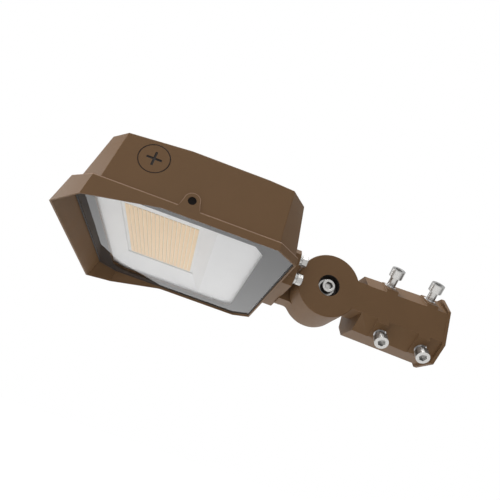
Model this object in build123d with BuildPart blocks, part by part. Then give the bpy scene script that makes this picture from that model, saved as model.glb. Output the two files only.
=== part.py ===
"""LED floodlight with a cut-off visor on an adjustable slip fitter.

Lengths are in millimetres. The origin is the middle of the slip fitter's mouth.
+Y points out of the mouth, -Y towards the visor, +Z to the lamp's back, and the light leaves towards -Z.
"""
import math
import os

from build123d import *

# Steel tenon that the slip fitter clamps
tenon_diameter = 60.3
socket_clearance = 0.6
socket_depth = 90.0
socket_radius = tenon_diameter / 2 + socket_clearance

# Clamp casting around the socket, an octagon that widens towards its mouth
clamp_length = 103.0
clamp_side = 40.3
clamp_far_front = 34.5
clamp_far_rear = 37.5
clamp_height_front = 34.0
clamp_height_rear = 37.6
clamp_slant_front = 38.3
clamp_slant_rear = 39.2
lip_length = 4.0
lip_side = 40.6
lip_height = 40.3
lip_slant = 42.9
lip_angle = 45.0
screw_angle = 48.0
pocket_angle = 50.0
boss_edge = 21.3
boss_foot = 20.5
boss_length = 14.0
boss_shift_upper = 1.0
boss_shift_lower = 4.0

# Clamp screws, in rows of two at plus and minus the screw angle and opposite
screw_places = (-72.5, -22.0)
screw_radius = 5.0
screw_head_radius = 8.0
screw_head_height = 10.0
screw_socket = 8.0
screw_stand_upper = 53.5
screw_stand_lower = 46.5
screw_stand_far = 50.0
screw_tip = 0.2
thread_clearance = 0.1

# Knuckle
pivot_y = -147.5
knuckle_radius = 36.4
near_disc = 40.3
far_disc = 31.0
knuckle_gap = 0.3
near_round = 1.2
far_chamfer = 4.0
cavity_outer = 27.0
cavity_inner = 11.5
cavity_near = 23.5
cavity_far = 15.5
pivot_hole_radius = 5.1
counterbore_radius = 12.4
counterbore_near = 12.0
counterbore_far = 10.0
web_height = 16.8
wire_way_radius = 9.0
seal_radius = 31.2
seal_width = 3.0
seal_depth = 2.0
seal_stand = 0.15

# Pivot bolt, its two washers and nut
bolt_radius = 4.75
bolt_head_radius = 7.5
bolt_head_height = 9.5
bolt_socket = 7.9
washer_radius = 9.6
washer_thickness = 1.6
nut_across = 14.3
nut_height = 8.3
bolt_stand = 1.6

# Arm and flange that join the knuckle to the lamp head
pivot_to_head = 57.6
arm_depth = 21.9
arm_blend = 8.0
flange_half_width = 59.0
flange_top = 23.0
flange_bottom = 20.0
flange_corner = 7.0
flange_seat = 2.0
flange_thickness = 12.5
flange_gasket_thickness = 1.5
flange_bolt_x = 50.0
flange_bolt_z = 11.05
pad_inset = 2.1
flange_bolt_radius = 3.0
flange_bolt_across = 11.1
flange_bolt_head = 6.4
flange_bolt_depth = 9.0
flange_hole_clearance = 0.3
flange_washer_radius = 6.3
lock_washer_radius = 5.2
lock_washer_thickness = 1.5
flange_bolt_boss = 4.8

# Lamp head: the front frame's lip plane lies below the pivot, its rear edge ahead of it
lip_drop = 25.5
head_half_width = 150.0
head_length = 223.6
frame_height = 9.1
frame_wall = 1.6
frame_round = 1.5
frame_flange = 2.5
corner_rear = 22.0
corner_front_x = 21.7
corner_front_y = 23.1
visor_depth = 21.6
visor_flare_front = 8.6
visor_flare_side = 1.4
visor_corner_x = 24.6
visor_corner_y = 27.6
visor_length = 89.6
visor_nose = 19.1
visor_bend_drop = 13.8
visor_ease = 40.0
ledge_inset = 13.0
ledge_rear = 29.0
ledge_nose = 19.1
ledge_corner = 12.0

# Rear housing
ledge_width = 2.2
ledge_width_front = 6.6
housing_height = 58.2
housing_wall = 3.0
housing_draft_side = 3.0
housing_draft_rear = 6.5
housing_draft_front = 13.7
back_slope_length = 95.6
back_slope = 0.09
back_rear_start = 50.0
back_rear_slope = 0.06
housing_corner_x = 21.5
housing_corner_x_top = 15.0
housing_corner_rear = 21.4
housing_corner_rear_top = 16.0
housing_corner_front = 22.8
housing_corner_front_top = 15.0
housing_round = 1.6
rim_inset = 9.0
rim_height = 5.0
gasket_inset = 3.6
gasket_width = 3.0
gasket_depth = 2.0
pedestal_margin = 2.0
pedestal_gap = 8.4
fin_count = 13
fin_thickness = 3.0
fin_root = 5.0
fin_span = 96.0
fin_rear_wall = 4.0
cut_room = 20.0
pad_margin = 1.5

# Side tabs of the frame and their screws
tab_from_front = 112.6
tab_rise = 7.3
tab_radius = 7.9
tab_base = 21.3
tab_stand = 0.2
tab_gap = 0.1
tab_foot = 2.5
tab_hole_radius = 4.0
tab_recess = 1.4
tab_screw_radius = 2.0
tab_screw_length = 12.0
tab_boss_width = 14.0
tab_boss_depth = 14.0

# Plug over the photocell port in the near side
plug_from_front = 65.5
plug_rise = 35.7
plug_radius = 15.0
plug_gap = 0.35
plug_flange = 3.0
plug_neck_radius = 10.3
plug_neck_length = 10.0
plug_port_radius = 10.45
plug_boss_radius = 19.0
plug_boss_depth = 9.0
plug_cross_length = 14.6
plug_cross_width = 2.1
plug_cross_depth = 1.4
plug_seal_thickness = 1.0
plug_seal_width = 2.6

# Glass and its bed of black silicone
glass_recess = 2.6
glass_thickness = 3.6
glass_gap = 2.0
glass_bed = 0.4

# Light engine
deck_rise = 21.5
board_thickness = 1.6
board_end_margin = 20.6
board_side_margin = 8.6
board_from_front = 83.9
strip_count = 17
strip_length = 156.8
strip_field = 80.8
strip_gap = 0.9
strip_thickness = 0.8
board_screw_inset = 6.0
board_screw_radius = 1.5
board_screw_head = 2.8
board_screw_head_height = 1.3
board_screw_depth = 4.0

# White reflector
tray_sheet = 1.0
tray_gap = 0.3
tray_inset = 10.5
tray_mouth_side = 18.0
tray_mouth_rear = 79.6
tray_mouth_nose = 20.6
tray_floor_margin = 4.3
tray_corner_x = 16.0
tray_corner_y = 18.0
tray_board_gap = 1.3
tray_screw_side = 16.6
tray_screw_y = 60.0
tray_screw_radius = 1.5
tray_screw_head = 3.0
tray_screw_head_height = 1.8
tray_post_radius = 3.4

# Driver compartment
driver_end_gap = 60.0
driver_width = 56.0
driver_height = 32.0
driver_middle = 46.0
driver_round = 3.0
bracket_sheet = 1.5
bracket_margin = 9.0
bracket_width = 48.0
bracket_post = 4.0
bracket_post_radius = 5.0
bracket_screw_gap = 10.0
bracket_screw_y = 17.0
bracket_screw_radius = 2.0
bracket_screw_head = 3.6
bracket_screw_head_height = 2.4
bracket_screw_depth = 5.0
terminal_gap = 16.5
terminal_length = 40.0
terminal_width = 18.0
terminal_height = 20.0
terminal_poles = 3
terminal_pole_radius = 2.6
terminal_pole_depth = 6.0

# Leads from the driver to the light engine's board
lead_radius = 0.9
lead_pitch = 4.0
lead_board_inset = 2.5
lead_wall_gap = 9.0
lead_driver_height = 12.0
lead_bend = 9.0

# Rubber grommet where the leads pass into the arm
grommet_hole = 10.5
grommet_wall = 2.2
grommet_lip = 2.0

# Places that follow from the sizes above
head_y = pivot_y - pivot_to_head
visor_start = head_length - visor_length
visor_bend = head_length - visor_nose
ledge_front = head_length - ledge_nose
back_slope_start = head_length - back_slope_length
tab_place = head_length - tab_from_front
plug_place = head_length - plug_from_front
board_middle = head_length - board_from_front
board_length = strip_length + 2 * board_end_margin
board_width = strip_field + 2 * board_side_margin
board_screw_x = board_length / 2 - board_screw_inset
board_screw_y = board_width / 2 - board_screw_inset
pedestal_half_width = board_length / 2 + pedestal_margin
pedestal_rear = tray_mouth_rear + pedestal_gap
tray_mouth_half = head_half_width - tray_mouth_side
tray_mouth_front = head_length - tray_mouth_nose
tray_floor_half = strip_length / 2 + tray_floor_margin
tray_floor_rear = board_middle - strip_field / 2 - tray_floor_margin
tray_floor_front = board_middle + strip_field / 2 + tray_floor_margin
tray_screw_x = head_half_width - tray_screw_side
driver_length = 2 * (head_half_width - driver_end_gap)
bracket_screw_x = driver_length / 2 + bracket_screw_gap
bracket_left = bracket_screw_x + bracket_margin
terminal_x = driver_length / 2 + terminal_gap + terminal_width / 2
bracket_right = terminal_x + terminal_width / 2 + 1
lead_channel = (pedestal_half_width + head_half_width - lead_wall_gap) / 2
lip_z = -lip_drop
joint_z = lip_z + frame_height
top_z = joint_z + housing_height
deck_z = lip_z + deck_rise
board_z = deck_z - board_thickness
glass_z = lip_z + glass_recess
ledge_z = joint_z - frame_flange
tray_z = joint_z + tray_gap
flange_face = head_y + flange_seat + flange_thickness
pad_top = flange_top - pad_inset
arm_middle = -(far_disc + knuckle_gap / 2) / 2
housing_front = head_length - ledge_width_front
inner_top = top_z - housing_wall
bracket_z = inner_top - bracket_post
driver_z = bracket_z - bracket_sheet
fin_floor = deck_z + fin_root
back_drop = (housing_front - back_slope_start) * back_slope
pedestal_front = housing_front - housing_wall
wall_lean = math.degrees(math.atan2(housing_draft_side, housing_height))
plug_face = head_half_width - ledge_width - housing_draft_side * plug_rise / housing_height


def octagon(height, near, far, distance, angle):
    """Corners of the clamp's section, in the X and Z of its plane."""
    slant = math.radians(angle)

    def side_corner(x):
        return (distance - x * math.cos(slant)) / math.sin(slant)

    top = (distance - height * math.sin(slant)) / math.cos(slant)
    upper = [(-top, height), (top, height), (near, side_corner(near))]
    lower = [(x, -z) for x, z in reversed(upper)]
    return upper + lower + [(-far, -side_corner(far)), (-far, side_corner(far))]


def boss_outline(y):
    """Corners of a screw boss's section above the pocket floor, at the plane of its front end."""
    share = (clamp_length + y) / (clamp_length - lip_length)
    height = clamp_height_front + (clamp_height_rear - clamp_height_front) * share
    return [(clamp_side, 0), (clamp_side, boss_edge), (boss_foot, height), (0, height)]


def head_outline(half_width, rear, front, rear_x, rear_y, front_x, front_y):
    """Corners of a head outline. Rear and front are distances ahead of the head's rear edge."""
    right = [
        (half_width - rear_x, head_y - rear),
        (half_width, head_y - rear - rear_y),
        (half_width, head_y - front + front_y),
        (half_width - front_x, head_y - front),
    ]
    return right + [(-x, y) for x, y in reversed(right)]


def frame_outline(inset, down):
    """The frame's outline at a depth below its top face, moved inwards."""
    share = down / (frame_height + visor_depth)
    flare = visor_flare_front * share
    trim = inset * math.tan(math.radians(45 / 2))
    corner_x = corner_front_x + (visor_corner_x - corner_front_x) * share
    corner_y = corner_front_y + (visor_corner_y - corner_front_y) * share
    return head_outline(
        head_half_width + visor_flare_side * share - inset, inset, head_length + flare - inset,
        corner_rear - trim, corner_rear - trim, corner_x - trim, corner_y - trim,
    )


def housing_outline(inset, rise):
    """The rear housing's outline at a height above its base, moved inwards."""
    share = rise / housing_height
    trim = inset * math.tan(math.radians(45 / 2))
    return head_outline(
        head_half_width - ledge_width - housing_draft_side * share - inset,
        ledge_width + housing_draft_rear * share + inset,
        housing_front - housing_draft_front * share - inset,
        housing_corner_x - trim,
        housing_corner_rear + (housing_corner_rear_top - housing_corner_rear) * share - trim,
        housing_corner_x + (housing_corner_x_top - housing_corner_x) * share - trim,
        housing_corner_front + (housing_corner_front_top - housing_corner_front) * share - trim,
    )


def face_plane(x, y, z, angle):
    """Plane whose normal lies in XZ at an angle above +X, with its own X along +Y."""
    turn = math.radians(angle)
    return Plane(origin=(x, y, z), x_dir=(0, 1, 0), z_dir=(math.cos(turn), 0, math.sin(turn)))


def screw_rows():
    """Angle of each row of clamp screws, and how far from the socket's axis its heads stand."""
    return [(screw_angle, screw_stand_upper), (-screw_angle, screw_stand_lower), (180.0, screw_stand_far)]


def filled(points):
    """Face inside a closed outline, in the sketch that is being made."""
    Polygon(*points, align=None)


def ring_face(outer, inner):
    """Flat ring between two closed outlines, in the sketch that is being made."""
    Polygon(*outer, align=None)
    Polygon(*inner, align=None, mode=Mode.SUBTRACT)


# Slip fitter: octagonal clamp, web and the knuckle's near disc in one casting
with BuildPart() as slip_fitter:
    with BuildSketch(Plane.XZ.offset(clamp_length)):
        filled(octagon(clamp_height_front, clamp_side, clamp_far_front, clamp_slant_front, pocket_angle))
    with BuildSketch(Plane.XZ.offset(lip_length)):
        filled(octagon(clamp_height_rear, clamp_side, clamp_far_rear, clamp_slant_rear, pocket_angle))
    loft(ruled=True)
    with BuildSketch(Plane.XZ):
        filled(octagon(lip_height, lip_side, lip_height, lip_slant, lip_angle))
    extrude(amount=lip_length)
    for y in screw_places:
        for up, shift in ((1, boss_shift_upper), (-1, boss_shift_lower)):
            boss_front = y - shift - boss_length / 2
            with BuildSketch(Plane.XZ.offset(-boss_front)):
                filled([(x, up * z) for x, z in boss_outline(boss_front)])
            extrude(amount=-boss_length)
    for y in screw_places:
        with BuildSketch(face_plane(0, y, 0, 180.0).offset(socket_radius)):
            Circle(boss_length / 2)
        extrude(amount=lip_height - socket_radius)
    with BuildSketch(Plane.YZ.offset(knuckle_gap / 2)):
        with Locations((pivot_y, 0)):
            Circle(knuckle_radius)
    extrude(amount=near_disc - knuckle_gap / 2)
    round_edges = slip_fitter.edges().filter_by(GeomType.CIRCLE)
    near_rim = round_edges.filter_by(lambda e: abs(e.center().X - near_disc) < 0.01)
    fillet(near_rim.filter_by(lambda e: abs(e.radius - knuckle_radius) < 0.01), near_round)
    with BuildSketch(Plane.YZ.offset(knuckle_gap / 2)):
        with BuildLine():
            Polyline(
                (pivot_y, -web_height), (-clamp_length + 1, -web_height),
                (-clamp_length + 1, web_height), (pivot_y, web_height), close=True,
            )
        make_face()
    extrude(amount=near_disc - knuckle_gap / 2)
    with BuildSketch(Plane.XZ):
        Circle(socket_radius)
    extrude(amount=socket_depth, mode=Mode.SUBTRACT)
    with BuildSketch(Plane.YZ.offset(knuckle_gap / 2)):
        with Locations((pivot_y, 0)):
            Circle(cavity_outer)
            Circle(cavity_inner, mode=Mode.SUBTRACT)
    extrude(amount=cavity_near, mode=Mode.SUBTRACT)
    with BuildSketch(Plane.XZ.offset(socket_depth - 1)):
        with Locations((knuckle_gap / 2 + cavity_near / 2, 0)):
            Circle(wire_way_radius)
    extrude(amount=-pivot_y - cavity_inner - socket_depth - 4, mode=Mode.SUBTRACT)
    with BuildSketch(Plane.YZ.offset(knuckle_gap / 2)):
        with Locations((pivot_y, 0)):
            Circle(seal_radius + seal_width / 2)
            Circle(seal_radius - seal_width / 2, mode=Mode.SUBTRACT)
    extrude(amount=seal_depth, mode=Mode.SUBTRACT)
    with BuildSketch(Plane.YZ):
        with Locations((pivot_y, 0)):
            Circle(pivot_hole_radius)
    extrude(amount=near_disc + 1, mode=Mode.SUBTRACT)
    with BuildSketch(Plane.YZ.offset(near_disc - counterbore_near)):
        with Locations((pivot_y, 0)):
            Circle(counterbore_radius)
    extrude(amount=counterbore_near + 1, mode=Mode.SUBTRACT)
    for angle, stand in screw_rows():
        for y in screw_places:
            with BuildSketch(face_plane(0, y, 0, angle).offset(socket_radius - 2)):
                Circle(screw_radius + thread_clearance)
            extrude(amount=lip_height, mode=Mode.SUBTRACT)
slip_fitter.part.label = "slip_fitter"

# Socket head screws that bite on the tenon
with BuildPart() as clamp_screws:
    for angle, stand in screw_rows():
        for y in screw_places:
            plane = face_plane(0, y, 0, angle)
            with BuildSketch(plane.offset(socket_radius + screw_tip)):
                Circle(screw_radius)
            extrude(amount=stand - socket_radius - screw_tip)
            with BuildSketch(plane.offset(stand)):
                Circle(screw_head_radius)
            extrude(amount=screw_head_height)
            with BuildSketch(plane.offset(stand + screw_head_height)):
                RegularPolygon(screw_socket / 2, 6, major_radius=False)
            extrude(amount=-screw_head_height / 2, mode=Mode.SUBTRACT)
clamp_screws.part.label = "clamp_screws"

# Pivot bolt through both discs
bolt_seat = near_disc - counterbore_near + washer_thickness
nut_seat = -far_disc + counterbore_far - washer_thickness
with BuildPart() as pivot_bolt:
    with BuildSketch(Plane.YZ.offset(nut_seat - nut_height - bolt_stand)):
        with Locations((pivot_y, 0)):
            Circle(bolt_radius)
    extrude(amount=bolt_seat - nut_seat + nut_height + bolt_stand)
    with BuildSketch(Plane.YZ.offset(bolt_seat)):
        with Locations((pivot_y, 0)):
            Circle(bolt_head_radius)
    extrude(amount=bolt_head_height)
    with BuildSketch(Plane.YZ.offset(bolt_seat + bolt_head_height)):
        with Locations((pivot_y, 0)):
            RegularPolygon(bolt_socket / 2, 6, major_radius=False)
    extrude(amount=-bolt_head_height / 2, mode=Mode.SUBTRACT)
pivot_bolt.part.label = "pivot_bolt"

with BuildPart() as pivot_washers:
    for seat in (bolt_seat - washer_thickness, nut_seat):
        with BuildSketch(Plane.YZ.offset(seat)):
            with Locations((pivot_y, 0)):
                Circle(washer_radius)
                Circle(pivot_hole_radius, mode=Mode.SUBTRACT)
        extrude(amount=washer_thickness)
pivot_washers.part.label = "pivot_washers"

with BuildPart() as pivot_nut:
    with BuildSketch(Plane.YZ.offset(nut_seat - nut_height)):
        with Locations((pivot_y, 0)):
            RegularPolygon(nut_across / 2, 6, major_radius=False)
            Circle(bolt_radius + thread_clearance, mode=Mode.SUBTRACT)
    extrude(amount=nut_height)
pivot_nut.part.label = "pivot_nut"

# Rubber ring between the two discs
with BuildPart() as knuckle_seal:
    with BuildSketch(Plane.YZ.offset(knuckle_gap / 2 - seal_stand)):
        with Locations((pivot_y, 0)):
            Circle(seal_radius + seal_width / 2)
            Circle(seal_radius - seal_width / 2, mode=Mode.SUBTRACT)
    extrude(amount=seal_depth + seal_stand)
knuckle_seal.part.label = "knuckle_seal"


def flange_outline():
    """Corners of the mounting flange, in the X and Z of its plane."""
    wide, top, bottom, cut = flange_half_width, flange_top, -flange_bottom, flange_corner
    right = [(wide - cut, top), (wide, top - cut), (wide, bottom + cut), (wide - cut, bottom)]
    return right + [(-x, z) for x, z in reversed(right)]


def flange_bolt_places():
    """Centres of the four flange bolts, in X and Z."""
    middle = (flange_top - flange_bottom) / 2
    heights = (middle - flange_bolt_z, middle + flange_bolt_z)
    return [(x, z) for x in (-flange_bolt_x, flange_bolt_x) for z in heights]


# Knuckle arm: the far disc, its arm and the flange in one casting. The arm's top rises to touch the disc.
arm_end = flange_face - 1
arm_reach = pivot_y - flange_face
arm_slant = math.hypot(arm_reach, flange_top)
arm_rise = math.atan2(flange_top, -arm_reach) - math.acos(knuckle_radius / arm_slant)
arm_tangent = (pivot_y + knuckle_radius * math.cos(arm_rise), knuckle_radius * math.sin(arm_rise))
with BuildPart() as knuckle_arm:
    with BuildSketch(Plane.YZ.offset(-far_disc)):
        with Locations((pivot_y, 0)):
            Circle(knuckle_radius)
        with BuildLine():
            Polyline(
                (pivot_y, -arm_depth), (pivot_y, 0), arm_tangent, (flange_face, flange_top),
                (arm_end, flange_top), (arm_end, -arm_depth), close=True,
            )
        make_face()
        beside_disc = vertices().filter_by(lambda v: pivot_y - knuckle_radius < v.X < pivot_y - 1)
        fillet(beside_disc.filter_by(lambda v: abs(v.Y + arm_depth) < 0.01), arm_blend)
    extrude(amount=far_disc - knuckle_gap / 2)
    far_edges = knuckle_arm.edges().filter_by(lambda e: abs(e.center().X + far_disc) < 0.01)
    chamfer(far_edges.filter_by(lambda e: e.center().Y > arm_end + 0.01), far_chamfer)
    with BuildSketch(Plane.XZ.offset(-flange_face)):
        filled(flange_outline())
    extrude(amount=flange_thickness)
    with BuildSketch(Plane.YZ.offset(-knuckle_gap / 2)):
        with Locations((pivot_y, 0)):
            Circle(cavity_outer)
            Circle(cavity_inner, mode=Mode.SUBTRACT)
    extrude(amount=-cavity_far, mode=Mode.SUBTRACT)
    with BuildSketch(Plane.XZ.offset(-head_y - flange_seat + 1)):
        with Locations((arm_middle, 0)):
            Circle(wire_way_radius)
    extrude(amount=-(pivot_to_head - cavity_inner - flange_seat - 4), mode=Mode.SUBTRACT)
    with BuildSketch(Plane.YZ.offset(-far_disc - 1)):
        with Locations((pivot_y, 0)):
            Circle(pivot_hole_radius)
    extrude(amount=far_disc + 1, mode=Mode.SUBTRACT)
    with BuildSketch(Plane.YZ.offset(-far_disc + counterbore_far)):
        with Locations((pivot_y, 0)):
            Circle(counterbore_radius)
    extrude(amount=-counterbore_far - 1, mode=Mode.SUBTRACT)
    with BuildSketch(Plane.XZ.offset(-flange_face - 1)):
        with Locations(*flange_bolt_places()):
            Circle(flange_bolt_radius + flange_hole_clearance)
    extrude(amount=flange_thickness + 2, mode=Mode.SUBTRACT)
knuckle_arm.part.label = "knuckle_arm"

# Rubber gasket between the flange and the housing's pad
pad_face = head_y + flange_seat - flange_gasket_thickness
with BuildPart() as flange_gasket:
    with BuildSketch(Plane.XZ.offset(-pad_face - flange_gasket_thickness)):
        with Locations((0, (pad_top + joint_z + pad_margin) / 2)):
            Rectangle(2 * flange_half_width - 2 * flange_corner, pad_top - joint_z - pad_margin)
        with Locations((arm_middle, 0)):
            Circle(grommet_hole + grommet_lip, mode=Mode.SUBTRACT)
        with Locations(*flange_bolt_places()):
            Circle(flange_bolt_radius + flange_hole_clearance, mode=Mode.SUBTRACT)
    extrude(amount=flange_gasket_thickness)
flange_gasket.part.label = "flange_gasket"

with BuildPart() as flange_washers:
    with BuildSketch(Plane.XZ.offset(-flange_face - washer_thickness)):
        with Locations(*flange_bolt_places()):
            Circle(flange_washer_radius)
            Circle(flange_bolt_radius + flange_hole_clearance, mode=Mode.SUBTRACT)
    extrude(amount=washer_thickness)
flange_washers.part.label = "flange_washers"

with BuildPart() as flange_lock_washers:
    with BuildSketch(Plane.XZ.offset(-flange_face - washer_thickness - lock_washer_thickness)):
        with Locations(*flange_bolt_places()):
            Circle(lock_washer_radius)
            Circle(flange_bolt_radius + flange_hole_clearance, mode=Mode.SUBTRACT)
    extrude(amount=lock_washer_thickness)
flange_lock_washers.part.label = "flange_lock_washers"

bolt_head_seat = flange_face + washer_thickness + lock_washer_thickness
with BuildPart() as flange_bolts:
    with BuildSketch(Plane.XZ.offset(-bolt_head_seat - flange_bolt_head)):
        with Locations(*flange_bolt_places()):
            RegularPolygon(flange_bolt_across / 2, 6, major_radius=False)
    extrude(amount=flange_bolt_head)
    with BuildSketch(Plane.XZ.offset(-bolt_head_seat)):
        with Locations(*flange_bolt_places()):
            Circle(flange_bolt_radius)
    extrude(amount=bolt_head_seat - pad_face + flange_bolt_depth)
flange_bolts.part.label = "flange_bolts"

# Grommet in the housing's rear wall
with BuildPart() as wire_grommet:
    with BuildSketch(Plane.XZ.offset(-pad_face)):
        with Locations((arm_middle, 0)):
            Circle(grommet_hole)
            Circle(grommet_hole - grommet_wall, mode=Mode.SUBTRACT)
    extrude(amount=flange_bolt_depth + 1)
    with BuildSketch(Plane.XZ.offset(-pad_face - flange_gasket_thickness)):
        with Locations((arm_middle, 0)):
            Circle(grommet_hole + grommet_lip - thread_clearance)
            Circle(grommet_hole - grommet_wall, mode=Mode.SUBTRACT)
    extrude(amount=flange_gasket_thickness)
wire_grommet.part.label = "wire_grommet"


def bracket_screw_places():
    """Centres of the four driver bracket screws."""
    middle = head_y - driver_middle
    return [(x, middle + y) for x in (-bracket_screw_x, bracket_screw_x)
            for y in (-bracket_screw_y, bracket_screw_y)]


def tray_screw_places():
    """Centres of the two reflector screws."""
    return [(x, head_y - tray_screw_y) for x in (-tray_screw_x, tray_screw_x)]


plug_plane = face_plane(plug_face, head_y - plug_place, joint_z + plug_rise, wall_lean)

def over_back_profile(under):
    """Closed outline in Y and Z of the space over the back's surface, lowered by a distance."""
    top = top_z - under
    bend = head_y - back_slope_start
    front = head_y - 2 * head_length
    lowered = top - (bend - front) * back_slope
    rear_bend = head_y - back_rear_start
    rear = head_y + back_rear_start
    rear_lowered = top - (rear - rear_bend) * back_rear_slope
    above = top_z + back_rear_start
    surface = [(rear, rear_lowered), (rear_bend, top), (bend, top), (front, lowered)]
    return surface + [(front, above), (rear, above)]


def is_back_seam(edge):
    """Whether an edge runs across the back, where its flat part meets a slope."""
    ahead = head_y - edge.center().Y
    on_bend = min(abs(ahead - back_slope_start), abs(ahead - back_rear_start)) < housing_wall
    return on_bend and abs(edge.tangent_at(0.5).X) > 0.99


# Space over the back, and the same space lowered by the wall
with BuildPart() as over_back:
    with BuildSketch(Plane.YZ.offset(-head_half_width)):
        filled(over_back_profile(0))
    extrude(amount=2 * head_half_width)
with BuildPart() as over_inner_back:
    with BuildSketch(Plane.YZ.offset(-head_half_width)):
        filled(over_back_profile(housing_wall))
    extrude(amount=2 * head_half_width)

# Hollow of the rear housing
with BuildPart() as housing_cavity:
    for rise in (rim_height, housing_height):
        with BuildSketch(Plane.XY.offset(joint_z + rise)):
            filled(housing_outline(housing_wall, rise))
    loft(ruled=True)
    add(over_inner_back.part, mode=Mode.SUBTRACT)

# Rear housing: drafted shell, heat sink block with fins, rim, bosses and ports
with BuildPart() as rear_housing:
    for rise in (0, housing_height):
        with BuildSketch(Plane.XY.offset(joint_z + rise)):
            filled(housing_outline(0, rise))
    loft(ruled=True)
    add(over_back.part, mode=Mode.SUBTRACT)
    corner_edges = rear_housing.edges().filter_by(lambda e: abs(e.tangent_at(0.5).Z) > 0.9)
    fillet(corner_edges, housing_round)
    over_rim = rear_housing.edges().filter_by(lambda e: e.center().Z > top_z - 2 * housing_wall - back_drop)
    top_edges = over_rim.filter_by(lambda e: abs(e.tangent_at(0.5).Z) < 0.5 and not is_back_seam(e))
    fillet(top_edges, housing_round)
    add(housing_cavity.part, mode=Mode.SUBTRACT)
    with BuildSketch(Plane.XY.offset(joint_z - 1)):
        filled(housing_outline(rim_inset, 0))
    extrude(amount=rim_height + 2, mode=Mode.SUBTRACT)
    pedestal_length = pedestal_front - pedestal_rear
    with BuildSketch(Plane.XY.offset(deck_z)):
        with Locations((0, head_y - pedestal_rear - pedestal_length / 2)):
            Rectangle(2 * pedestal_half_width, pedestal_length)
    extrude(amount=inner_top + housing_wall / 2 - deck_z)
    with BuildSketch(Plane.YZ.offset(-head_half_width)):
        with BuildLine():
            front_base = head_y - housing_front
            lean = housing_draft_front / housing_height
            Polyline(
                (front_base - cut_room, joint_z - 1), (front_base - lean, joint_z - 1),
                (front_base + lean * (housing_height + 1), top_z + 1), (front_base - cut_room, top_z + 1),
                close=True,
            )
        make_face()
    extrude(amount=2 * head_half_width, mode=Mode.SUBTRACT)
    add(over_back.part, mode=Mode.SUBTRACT)
    fin_pitch = 2 * fin_span / (fin_count - 1)
    slot_width = fin_pitch - fin_thickness
    slot_rear = head_y - pedestal_rear - fin_rear_wall
    slot_length = head_length
    with BuildSketch(Plane.XY.offset(fin_floor)):
        with Locations((0, slot_rear - slot_length / 2)):
            with GridLocations(fin_pitch, 1, fin_count - 1, 1):
                Rectangle(slot_width, slot_length)
    extrude(amount=housing_height, mode=Mode.SUBTRACT)
    pad_depth = pad_face - head_y + ledge_width + housing_draft_rear
    with BuildSketch(Plane.XZ.offset(-pad_face)):
        with Locations((0, (pad_top + joint_z + pad_margin) / 2)):
            Rectangle(2 * flange_half_width - 2 * flange_corner, pad_top - joint_z - pad_margin)
    extrude(amount=pad_depth)
    with BuildSketch(Plane.XZ.offset(-pad_face)):
        with Locations(*flange_bolt_places()):
            Circle(flange_bolt_boss)
        with Locations((arm_middle, 0)):
            Circle(grommet_hole + grommet_lip)
    extrude(amount=flange_bolt_depth + 2)
    with BuildSketch(Plane.XZ.offset(-pad_face - 1)):
        with Locations(*flange_bolt_places()):
            Circle(flange_bolt_radius + thread_clearance)
    extrude(amount=flange_bolt_depth + 2, mode=Mode.SUBTRACT)
    with BuildSketch(Plane.XZ.offset(-pad_face - 1)):
        with Locations((arm_middle, 0)):
            Circle(grommet_hole + thread_clearance)
    extrude(amount=flange_bolt_depth + 4, mode=Mode.SUBTRACT)
    tab_boss_x = head_half_width - ledge_width - 1 - tab_boss_depth / 2
    for side in (-1, 1):
        with BuildSketch(Plane.XY.offset(tray_z + tray_sheet + tray_gap)):
            with Locations((side * tab_boss_x, head_y - tab_place)):
                Rectangle(tab_boss_depth, tab_boss_width)
        extrude(amount=2 * tab_rise)
    with BuildSketch(Plane.XY.offset(joint_z)):
        ring_face(
            housing_outline(gasket_inset, 0),
            housing_outline(gasket_inset + gasket_width, 0),
        )
    extrude(amount=gasket_depth, mode=Mode.SUBTRACT)
    with BuildSketch(plug_plane.offset(-1)):
        Circle(plug_boss_radius)
    extrude(amount=1 - plug_boss_depth)
    with BuildSketch(plug_plane.offset(-plug_flange - plug_seal_thickness)):
        Circle(plug_radius + plug_gap)
    extrude(amount=plug_flange + plug_seal_thickness + 1, mode=Mode.SUBTRACT)
    with BuildSketch(plug_plane):
        Circle(plug_port_radius)
    extrude(amount=-plug_boss_depth - 2, mode=Mode.SUBTRACT)
    for side in (-1, 1):
        turn = 90 - 90 * side
        tab_plane = face_plane(side * head_half_width, head_y - tab_place, joint_z + tab_rise, turn)
        with BuildSketch(tab_plane):
            Circle(tab_screw_radius + thread_clearance)
        extrude(amount=-tab_screw_length - 2, mode=Mode.SUBTRACT)
    with BuildSketch(Plane.XY.offset(bracket_z)):
        with Locations(*bracket_screw_places()):
            Circle(bracket_post_radius)
    extrude(amount=bracket_post + 1)
    with BuildSketch(Plane.XY.offset(bracket_z)):
        with Locations(*bracket_screw_places()):
            Circle(bracket_screw_radius + thread_clearance)
    extrude(amount=bracket_screw_depth, mode=Mode.SUBTRACT)
    with BuildSketch(Plane.XY.offset(tray_z + tray_sheet)):
        with Locations(*tray_screw_places()):
            Circle(tray_post_radius)
    extrude(amount=inner_top + 1 - tray_z - tray_sheet)
    with BuildSketch(Plane.XY.offset(tray_z + tray_sheet)):
        with Locations(*tray_screw_places()):
            Circle(tray_screw_radius + thread_clearance)
    extrude(amount=3 * tray_screw_radius, mode=Mode.SUBTRACT)
    with BuildSketch(Plane.XY.offset(deck_z)):
        with Locations((0, head_y - board_middle)):
            with GridLocations(2 * board_screw_x, 2 * board_screw_y, 2, 2):
                Circle(board_screw_radius + thread_clearance)
    extrude(amount=board_screw_depth, mode=Mode.SUBTRACT)
rear_housing.part.label = "rear_housing"

with BuildPart() as housing_gasket:
    with BuildSketch(Plane.XY.offset(joint_z)):
        ring_face(
            housing_outline(gasket_inset, 0),
            housing_outline(gasket_inset + gasket_width, 0),
        )
    extrude(amount=gasket_depth)
housing_gasket.part.label = "housing_gasket"

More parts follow.
